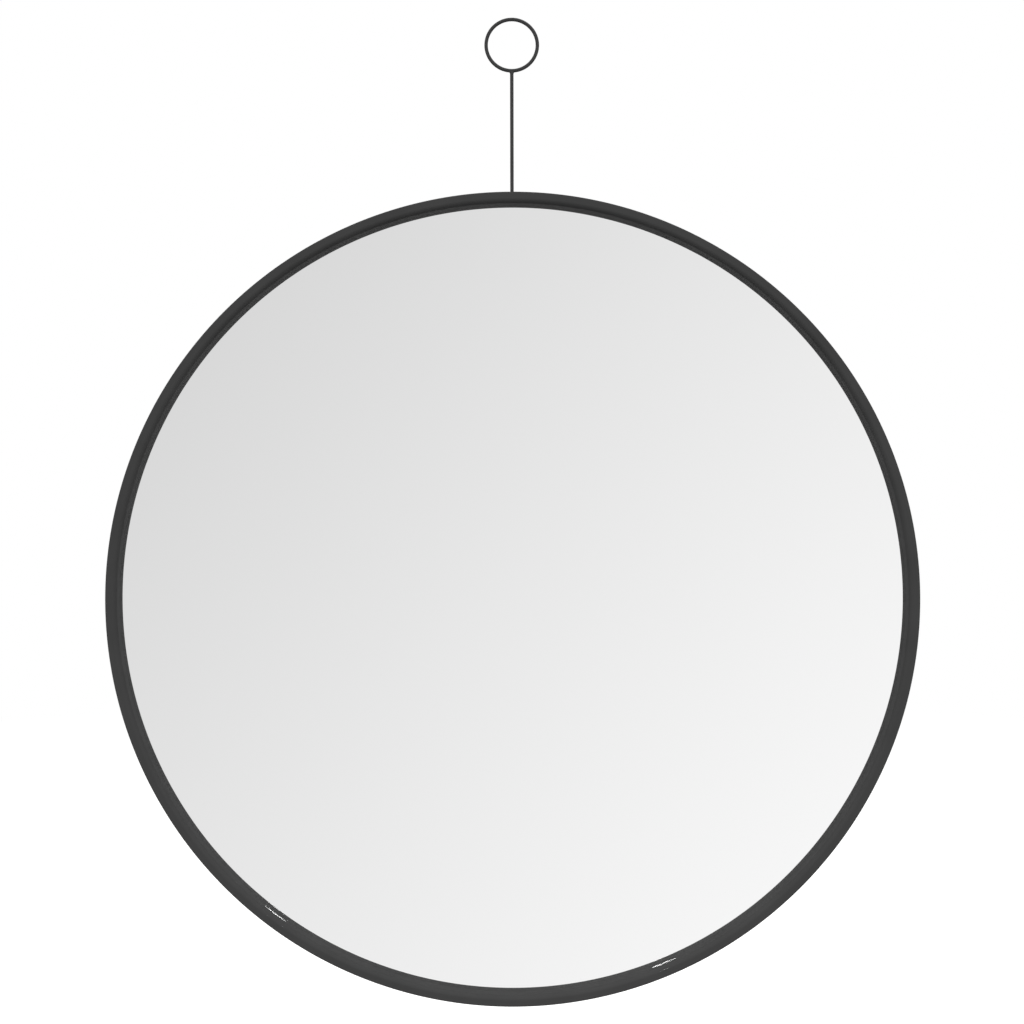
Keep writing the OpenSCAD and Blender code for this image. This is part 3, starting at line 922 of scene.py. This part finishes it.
class ROUNDMIRROR_OT_hanger(bpy.types.Operator):
    """Makes the wire ring, and the rod that is welded to it"""

    bl_idname = "round_mirror.hanger"
    bl_label = "Ring and rod"

    def execute(self, context):
        mirror = context.scene.round_mirror
        coat = powder_coat()
        add_piece("wire_ring", upright(ring_shell(), (0, 0, 0)), [coat], "hanger",
                  ["hanging_ring"])
        add_piece("welded_rod", rod_shell(mirror.hanger), [coat], "hanger",
                  ["hanging_rod"])
        return {"FINISHED"}


class ROUNDMIRROR_OT_rod_fastening(bpy.types.Operator):
    """Finishes the washer, the locknut and its insert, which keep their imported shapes"""

    bl_idname = "round_mirror.rod_fastening"
    bl_label = "Washer and locknut"

    def execute(self, context):
        zinc = zinc_plate("zinc_plated_fastener")
        finish_node("rod_washer", zinc)
        finish_node("rod_locknut", zinc)
        finish_node("locknut_insert", nylon())
        return {"FINISHED"}


class ROUNDMIRROR_OT_frame(bpy.types.Operator):
    """Makes the frame, a steel channel rolled into a circle"""

    bl_idname = "round_mirror.frame"
    bl_label = "Frame"

    def execute(self, context):
        mirror = context.scene.round_mirror
        add_piece("rolled_frame", upright(frame_shell(mirror.frame)), [powder_coat()], "mirror",
                  ["frame_ring"])
        return {"FINISHED"}


class ROUNDMIRROR_OT_pane(bpy.types.Operator):
    """Makes the silvered pane, and finishes the paint behind it"""

    bl_idname = "round_mirror.pane"
    bl_label = "Mirror pane"

    def execute(self, context):
        mirror = context.scene.round_mirror
        shell = lathe(pane_profile(mirror.frame.arris), BIG_STEPS)
        pane = add_piece("silvered_pane", upright(shell), [silvered_glass(), ground_glass()],
                         "mirror", ["mirror_glass"])
        faces = pane.data.polygons
        middles = np.zeros(3 * len(faces))
        faces.foreach_get("center", middles)
        away = np.linalg.norm(middles.reshape(-1, 3)[:, [0, 2]] - CENTRE[[0, 2]], axis=1)
        rim = away > GLASS_HIGH.x - mirror.frame.arris
        faces.foreach_set("material_index", rim.astype(np.int32))
        finish_node("silver_coating", backing_paint())
        return {"FINISHED"}


class ROUNDMIRROR_OT_edge_blocks(bpy.types.Operator):
    """Makes the soft blocks around the rim of the glass"""

    bl_idname = "round_mirror.edge_blocks"
    bl_label = "Edge blocks"

    count: bpy.props.IntProperty(name="Count", description="Number of blocks", default=6, min=3)

    def execute(self, context):
        mirror = context.scene.round_mirror
        angles = 90 + np.arange(self.count) * 360 / self.count
        shell = joined([block_shell(mirror.back, a) for a in angles])
        add_piece("rim_blocks", upright(shell), [moulded_rubber()], "mirror", ["edge_blocks"])
        return {"FINISHED"}


class ROUNDMIRROR_OT_foam_pads(bpy.types.Operator):
    """Makes the foam pads between glass and board, an outer and an inner circle of them"""

    bl_idname = "round_mirror.foam_pads"
    bl_label = "Foam pads"

    inner_count: bpy.props.IntProperty(
        name="Inner count", description="Number of pads in the inner circle", default=4, min=1)

    def execute(self, context):
        mirror = context.scene.round_mirror
        step = 360 / len(PIVOTS)
        outer = (PAD_HIGH.x - mirror.back.pad_diameter / 2) / math.cos(math.radians(step / 2))
        places = spots(outer, step / 2, len(PIVOTS)) + spots(outer / 2, 0, self.inner_count)
        pad = lathe(pad_profile(mirror.back))
        shell = joined([upright(pad, place) for place in places])
        piece = add_piece("squeezed_pads", shell, [closed_cell_foam()], "mirror", ["foam_pads"])
        return {"FINISHED"}


class ROUNDMIRROR_OT_board(bpy.types.Operator):
    """Makes the wood-fibre board behind the glass"""

    bl_idname = "round_mirror.board"
    bl_label = "Backing board"

    def execute(self, context):
        mirror = context.scene.round_mirror
        add_piece("pressed_board", upright(board_shell(mirror.back)), [fibre_board()], "mirror",
                  ["backing_board"])
        return {"FINISHED"}


class ROUNDMIRROR_OT_bumpers(bpy.types.Operator):
    """Makes the rubber bumpers that keep the frame off the wall"""

    bl_idname = "round_mirror.bumpers"
    bl_label = "Wall bumpers"

    count: bpy.props.IntProperty(name="Count", description="Number of bumpers", default=4, min=3)

    def execute(self, context):
        mirror = context.scene.round_mirror
        radius = (BUMPER_HIGH.x - mirror.back.bumper_diameter / 2) * math.sqrt(2)
        bumper = lathe(bumper_profile(mirror.back))
        shell = joined([upright(bumper, p) for p in spots(radius, 45, self.count)])
        add_piece("moulded_bumpers", shell, [moulded_rubber()], "mirror", ["wall_bumpers"])
        return {"FINISHED"}


class ROUNDMIRROR_OT_turn_buttons(bpy.types.Operator):
    """Makes the pressed turn buttons that hold the back in, and their rivets"""

    bl_idname = "round_mirror.turn_buttons"
    bl_label = "Turn buttons"

    def execute(self, context):
        mirror = context.scene.round_mirror
        rivet = lathe(rivet_profile(mirror.button))
        seats = PIVOTS * (1, 0, 1)
        add_piece("rolled_rivets", joined([upright(rivet, CENTRE + seat) for seat in seats]),
                  [zinc_plate("zinc_plated_rivet")], "mirror", ["button_rivets"])
        zinc = zinc_plate("zinc_plated_strip", pressed=True)
        (points, faces), blank = button_shell(mirror.button)
        for number, (joint, seat) in enumerate(zip(TURN_JOINTS, seats), 1):
            out = seat / PIVOT_RADIUS
            side = np.array([out[2], 0, -out[0]])
            place = CENTRE + seat + (0, BUTTON_LOW.y - FRONT_Y, 0)
            standing = (place + points[:, :1] * out + points[:, 1:2] * side
                        + points[:, 2:] * (0, 1, 0))
            piece = add_piece(f"pressed_button_{number}", (standing, faces), [zinc],
                              joint["child"], [f"turn_button_{number}"])
            marks = piece.data.attributes.new("blank_place", "FLOAT_VECTOR", "POINT")
            marks.data.foreach_set("vector", blank.astype(np.float32).ravel())
        return {"FINISHED"}


class ROUNDMIRROR_OT_stage(bpy.types.Operator):
    """Makes the pale floor, the light, and the camera with its 50 mm lens on 36 mm film"""

    bl_idname = "round_mirror.stage"
    bl_label = "Studio"

    def execute(self, context):
        mirror = context.scene.round_mirror
        stage = mirror.stage
        add_world()
        add_floor(stage)
        add_glint("glint_left", (-0.1764, 0.0093, -0.2327), (216.6, -1050, 222.4), 0.004)
        add_glint("glint_right", (0.1114, 0.0093, -0.2699), (-142.5, -1050, 283.5), 0.0115)
        camera = bpy.data.objects.new("camera", bpy.data.cameras.new("camera"))
        bpy.context.scene.collection.objects.link(camera)
        camera.data.lens = 50
        camera.data.sensor_width = 36
        camera.data.clip_start = 0.05
        camera.location = (
            -stage.camera_left, FRONT_Y - stage.camera_distance, CENTRE_Z + stage.camera_rise)
        camera.rotation_euler = (math.radians(90), stage.camera_roll, 0)
        bpy.context.scene.camera = camera
        bpy.context.scene.view_settings.view_transform = "Standard"
        return {"FINISHED"}


def add_world():
    """The studio: plain white where the camera looks past the mirror, and soft light elsewhere.

    Ahead, within a cone about the way the pane sends the camera's view, is the pale far side of
    the studio. It grows brighter towards the lower right with the direction's share along that
    slant. Around it the light is strongest to the front and the rear, weaker to the sides, and
    grows with height. Gloss that hasn't come by a matt surface finds an even pale floor and
    ceiling there, so that the pane also looks pale from above and below.
    """
    world = bpy.data.worlds.new("studio")
    bpy.context.scene.world = world
    world.use_nodes = True
    tree = world.node_tree
    tree.nodes.clear()
    direction = add_node(tree, "ShaderNodeTexCoord").outputs["Generated"]
    parts = add_node(tree, "ShaderNodeSeparateXYZ", {"Vector": direction})
    slant = math.radians(40)
    along = add_node(tree, "ShaderNodeVectorMath", {
        0: direction, 1: (math.cos(slant), 0, -math.sin(slant))}, operation="DOT_PRODUCT")
    front = add_node(tree, "ShaderNodeMapRange", {
        "Value": along.outputs["Value"], "From Min": -0.6, "From Max": 0.45,
        "To Min": 0.596, "To Max": 1.129})
    away = add_node(tree, "ShaderNodeMath", {0: parts.outputs["Y"]}, operation="ABSOLUTE")
    level = add_node(tree, "ShaderNodeMapRange", {
        "Value": away.outputs["Value"], "To Min": 0.6, "To Max": 1.08})
    rise = add_node(tree, "ShaderNodeMapRange", {
        "Value": parts.outputs["Z"], "From Min": -0.8, "To Min": 0.05, "To Max": 2.1})
    around = add_node(tree, "ShaderNodeMath", {
        0: level.outputs["Result"], 1: rise.outputs["Result"]}, operation="MULTIPLY")
    slope = add_node(tree, "ShaderNodeMath", {0: parts.outputs["Z"]}, operation="ABSOLUTE")
    steep = add_node(tree, "ShaderNodeMapRange", {
        "Value": slope.outputs["Value"], "From Min": 0.15, "From Max": 0.5})
    path = add_node(tree, "ShaderNodeLightPath")
    seen = add_node(tree, "ShaderNodeMath", {
        0: path.outputs["Is Glossy Ray"], 1: path.outputs["Diffuse Depth"]},
        operation="SUBTRACT", use_clamp=True)
    mirrored = add_node(tree, "ShaderNodeMath", {
        0: steep.outputs["Result"], 1: seen.outputs["Value"]}, operation="MULTIPLY")
    surround = add_node(tree, "ShaderNodeMix", {
        MIX_FACTOR: mirrored.outputs["Value"], NUMBER_A: around.outputs["Value"],
        NUMBER_B: 0.84})
    dip = math.radians(3.5)
    facing = add_node(tree, "ShaderNodeVectorMath", {
        0: direction, 1: (0, -math.cos(dip), -math.sin(dip))}, operation="DOT_PRODUCT")
    ahead = add_node(tree, "ShaderNodeMapRange", {
        "Value": facing.outputs["Value"], "From Min": 0.9, "From Max": 0.962})
    lit = add_node(tree, "ShaderNodeMix", {
        MIX_FACTOR: ahead.outputs["Result"], NUMBER_A: surround.outputs["Result"],
        NUMBER_B: front.outputs["Result"]})
    plain = add_node(tree, "ShaderNodeMath", {
        0: path.outputs["Is Camera Ray"], 1: path.outputs["Is Transmission Ray"]},
        operation="MAXIMUM")
    strength = add_node(tree, "ShaderNodeMix", {
        MIX_FACTOR: plain.outputs["Value"], NUMBER_A: lit.outputs["Result"], NUMBER_B: 1.0})
    shade = add_node(tree, "ShaderNodeBackground", {
        "Color": (1, 1, 1, 1), "Strength": strength.outputs["Result"]})
    add_node(tree, "ShaderNodeOutputWorld", {"Surface": shade.outputs["Background"]})


def add_floor(stage):
    """A pale disc below the mirror, plain white to the camera but for the mirror's shadow.

    Its points lie at (radius cos t, radius sin t) on one level. To the camera a little light of
    its own brings the lit floor up to white, and far out it is the backdrop's white. From below
    it can't be seen.
    """
    material, tree = start_material("pale_floor")
    place = add_node(tree, "ShaderNodeTexCoord").outputs["Object"]
    away = add_node(tree, "ShaderNodeVectorMath", {0: place}, operation="LENGTH")
    far = add_node(tree, "ShaderNodeMapRange", {
        "Value": away.outputs["Value"], "From Min": 1.5, "From Max": 4.0})
    path = add_node(tree, "ShaderNodeLightPath")
    paint = add_node(tree, "ShaderNodeBsdfDiffuse", {"Color": (*stage.floor_tone, 1)})
    lift = add_node(tree, "ShaderNodeEmission", {"Strength": 0.3})
    white = add_node(tree, "ShaderNodeEmission", {"Strength": 1.0})
    near = add_node(tree, "ShaderNodeAddShader", {
        0: paint.outputs["BSDF"], 1: lift.outputs["Emission"]})
    faded = add_node(tree, "ShaderNodeMixShader", {
        "Fac": far.outputs["Result"], 1: near.outputs["Shader"], 2: white.outputs["Emission"]})
    shown = add_node(tree, "ShaderNodeMixShader", {
        "Fac": path.outputs["Is Camera Ray"], 1: paint.outputs["BSDF"],
        2: faded.outputs["Shader"]})
    side = add_node(tree, "ShaderNodeNewGeometry")
    nothing = add_node(tree, "ShaderNodeBsdfTransparent")
    sided = add_node(tree, "ShaderNodeMixShader", {
        "Fac": side.outputs["Backfacing"], 1: shown.outputs["Shader"],
        2: nothing.outputs["BSDF"]})
    add_node(tree, "ShaderNodeOutputMaterial", {"Surface": sided.outputs["Shader"]})
    radii = np.linspace(0, stage.floor_radius, FLOOR_RINGS + 1)[1:]
    t = np.arange(SMALL_STEPS) * math.tau / SMALL_STEPS
    level = FRAME_LOW.z - stage.floor_drop
    grid = np.stack([
        radii[:, None] * np.cos(t), radii[:, None] * np.sin(t),
        np.full((len(radii), SMALL_STEPS), level)], axis=-1)
    table = numbered(grid)
    hub = [np.full(SMALL_STEPS, table.size), table[0], np.roll(table[0], -1)]
    mesh = bpy.data.meshes.new("floor")
    faces = strip(table)[..., ::-1].reshape(-1, 4).tolist() + np.column_stack(hub).tolist()
    mesh.from_pydata(np.vstack([grid.reshape(-1, 3), [(0, 0, level)]]).tolist(), [], faces)
    mesh.materials.append(material)
    floor = bpy.data.objects.new("floor", mesh)
    bpy.context.scene.collection.objects.link(floor)
    for ray in ("diffuse", "glossy", "transmission", "shadow"):
        setattr(floor, f"visible_{ray}", False)


def add_glint(name, spot, toward, power):
    """A small lamp far off in one direction, whose narrow beam glints on a spot beside the glass.

    The spot is given from the middle of the frame's face, and the power in watts.
    """
    spot = CENTRE + spot
    away = np.array(toward, float) / np.linalg.norm(toward) * LAMP_DISTANCE
    lamp = bpy.data.lights.new(name, "AREA")
    lamp.shape = "DISK"
    lamp.size = 2 * LAMP_DISTANCE * math.tan(LAMP_HALF_ANGLE)
    lamp.spread = LAMP_BEAM
    lamp.energy = power
    light = bpy.data.objects.new(name, lamp)
    bpy.context.scene.collection.objects.link(light)
    light.location = spot + away
    light.rotation_euler = Vector(-away).to_track_quat("-Z", "Y").to_euler()
    light.visible_camera = False


class ROUNDMIRROR_PT_panel(bpy.types.Panel):
    """Sizes, colours and steps of the round mirror"""

    bl_idname = "ROUNDMIRROR_PT_panel"
    bl_label = "Round Mirror"
    bl_space_type = "VIEW_3D"
    bl_region_type = "UI"
    bl_category = "Round Mirror"

    def draw(self, context):
        layout = self.layout
        mirror = context.scene.round_mirror
        for title, group in SECTIONS:
            box = layout.box()
            box.label(text=title)
            sizes = getattr(mirror, group)
            for name in sizes.__annotations__:
                box.prop(sizes, name)
        for step in STEPS:
            layout.operator(step.bl_idname)


class RoundMirrorSettings(bpy.types.PropertyGroup):
    """All settings of the round mirror"""

    frame: bpy.props.PointerProperty(type=RoundMirrorFrameSizes)
    hanger: bpy.props.PointerProperty(type=RoundMirrorHangerSizes)
    back: bpy.props.PointerProperty(type=RoundMirrorBackSizes)
    button: bpy.props.PointerProperty(type=RoundMirrorButtonSizes)
    colours: bpy.props.PointerProperty(type=RoundMirrorColours)
    stage: bpy.props.PointerProperty(type=RoundMirrorStage)


SECTIONS = [
    ("Frame and glass", "frame"), ("Ring and rod", "hanger"), ("Back", "back"),
    ("Turn buttons", "button"), ("Colours", "colours"), ("Studio", "stage"),
]
STEPS = [
    ROUNDMIRROR_OT_hanger, ROUNDMIRROR_OT_rod_fastening, ROUNDMIRROR_OT_frame,
    ROUNDMIRROR_OT_pane, ROUNDMIRROR_OT_edge_blocks, ROUNDMIRROR_OT_foam_pads,
    ROUNDMIRROR_OT_board, ROUNDMIRROR_OT_bumpers, ROUNDMIRROR_OT_turn_buttons,
    ROUNDMIRROR_OT_stage,
]
CLASSES = [
    RoundMirrorFrameSizes, RoundMirrorHangerSizes, RoundMirrorBackSizes, RoundMirrorButtonSizes,
    RoundMirrorColours, RoundMirrorStage, RoundMirrorSettings, *STEPS, ROUNDMIRROR_PT_panel,
]


def register():
    for kind in CLASSES:
        bpy.utils.register_class(kind)
    bpy.types.Scene.round_mirror = bpy.props.PointerProperty(type=RoundMirrorSettings)


def unregister():
    del bpy.types.Scene.round_mirror
    for kind in reversed(CLASSES):
        bpy.utils.unregister_class(kind)


def main():
    """Makes everything."""
    register()
    bpy.ops.round_mirror.hanger()
    bpy.ops.round_mirror.rod_fastening()
    bpy.ops.round_mirror.frame()
    bpy.ops.round_mirror.pane()
    bpy.ops.round_mirror.edge_blocks()
    bpy.ops.round_mirror.foam_pads()
    bpy.ops.round_mirror.board()
    bpy.ops.round_mirror.bumpers()
    bpy.ops.round_mirror.turn_buttons()
    bpy.ops.round_mirror.stage()


if __name__ == "__main__":
    main()
